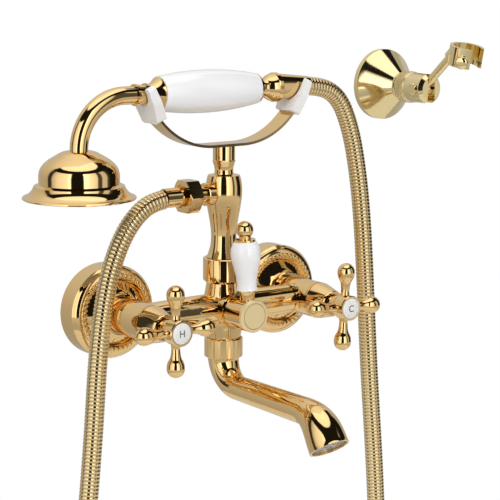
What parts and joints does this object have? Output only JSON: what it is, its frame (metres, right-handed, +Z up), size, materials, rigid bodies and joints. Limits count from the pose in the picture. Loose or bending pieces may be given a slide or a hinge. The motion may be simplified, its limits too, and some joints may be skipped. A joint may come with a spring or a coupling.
{
  "type": "bath shower mixer",
  "caption": "Wall-mounted gold bath shower mixer with cross handles, telephone-style hand shower in a cradle, hanging metal hose and a separate wall bracket.",
  "frame": {"origin": "on the wall plane, midway between the two inlets", "axes": "+X to the right along the wall, +Y into the wall, +Z up"},
  "size_m": [0.3795, 0.2037, 0.6833],
  "materials": {
    "polished_gold": "polished gold plate",
    "hose_gold": "polished gold plate, ribbed",
    "raw_brass": "machined",
    "porcelain": "opaque white glazed porcelain",
    "white_enamel": "white enamel",
    "white_nylon": "satin",
    "grey_plastic": "satin",
    "black_rubber": "matt",
    "steel": "plain"
  },
  "bodies": {
    "mixer": {"bracket_knuckle_nut": "polished_gold", "bracket_rose": "polished_gold", "bracket_wall_plate": "steel", "bracket_wall_screws": "steel", "cold_bonnet": "polished_gold", "cold_cartridge": "raw_brass", "cold_inlet_union": "raw_brass", "cold_union_nut": "polished_gold", "cold_wall_flange": "polished_gold", "cradle_screw": "polished_gold", "cradle_strap": "polished_gold", "diverter_cartridge": "raw_brass", "hose_ferrule": "polished_gold", "hose_hex_nut": "polished_gold", "hot_bonnet": "polished_gold", "hot_cartridge": "raw_brass", "hot_inlet_union": "raw_brass", "hot_union_nut": "polished_gold", "hot_wall_flange": "polished_gold", "inlet_washers": "black_rubber", "left_yoke": "white_nylon", "mixer_body": "polished_gold", "outlet_nipple": "polished_gold", "outlet_washer": "black_rubber", "right_yoke": "white_nylon", "riser_column": "polished_gold", "riser_nut": "polished_gold", "riser_washer": "black_rubber", "spout_nut": "polished_gold"},
    "spout_body": {"spout": "polished_gold", "spout_o_ring": "black_rubber", "aerator": "grey_plastic"},
    "hot_valve": {"hot_spindle": "raw_brass", "hot_handle": "polished_gold", "hot_index": "white_enamel", "hot_handle_screw": "steel"},
    "cold_valve": {"cold_spindle": "raw_brass", "cold_handle": "polished_gold", "cold_index": "white_enamel", "cold_handle_screw": "steel"},
    "diverter": {"diverter_spindle": "raw_brass", "diverter_drum": "polished_gold", "diverter_disc": "polished_gold", "diverter_lever_neck": "polished_gold", "diverter_lever_grip": "porcelain", "diverter_lever_finial": "polished_gold"},
    "handset": {"handset_elbow": "polished_gold", "shower_head": "polished_gold", "spray_plate": "grey_plastic", "handset_collar": "polished_gold", "handset_grip": "porcelain", "handset_tube": "raw_brass", "handset_end_fitting": "polished_gold", "hose_cone_nut": "polished_gold", "shower_hose": "hose_gold"},
    "bracket_head": {"bracket_clevis": "polished_gold", "bracket_pivot_pin": "polished_gold"},
    "bracket_holder": {"bracket_arm": "polished_gold", "bracket_clip": "polished_gold", "bracket_clip_button": "polished_gold"}
  },
  "joints": [
    {"name": "hot_valve_turn", "type": "hinge", "parent": "mixer", "child": "hot_valve", "pos_m": [-0.075, -0.0987, 0], "axis": [0, -1, 0], "range_deg": [0, 90]},
    {"name": "cold_valve_turn", "type": "hinge", "parent": "mixer", "child": "cold_valve", "pos_m": [0.075, -0.0987, 0], "axis": [0, -1, 0], "range_deg": [-90, 0]},
    {"name": "diverter_turn", "type": "hinge", "parent": "mixer", "child": "diverter", "pos_m": [0, -0.0806, 0], "axis": [0, -1, 0], "range_deg": [-45, 45]},
    {"name": "spout_swivel", "type": "hinge", "parent": "mixer", "child": "spout_body", "pos_m": [0, -0.05, -0.03], "axis": [0, 0, 1], "range_deg": [-70, 70]},
    {"name": "handset_lift", "type": "slide", "parent": "mixer", "child": "handset", "axis": [0, 0, 1], "range_m": [0, 0.06], "deforming": ["shower_hose"]},
    {"name": "bracket_swivel", "type": "hinge", "parent": "mixer", "child": "bracket_head", "pos_m": [0.19, -0.036, 0.153], "axis": [0, -1, 0], "range_deg": [-60, 60]},
    {"name": "bracket_tilt", "type": "hinge", "parent": "bracket_head", "child": "bracket_holder", "pos_m": [0.19, -0.052, 0.153], "axis": [1, 0, 0], "range_deg": [-20, 40]}
  ]
}
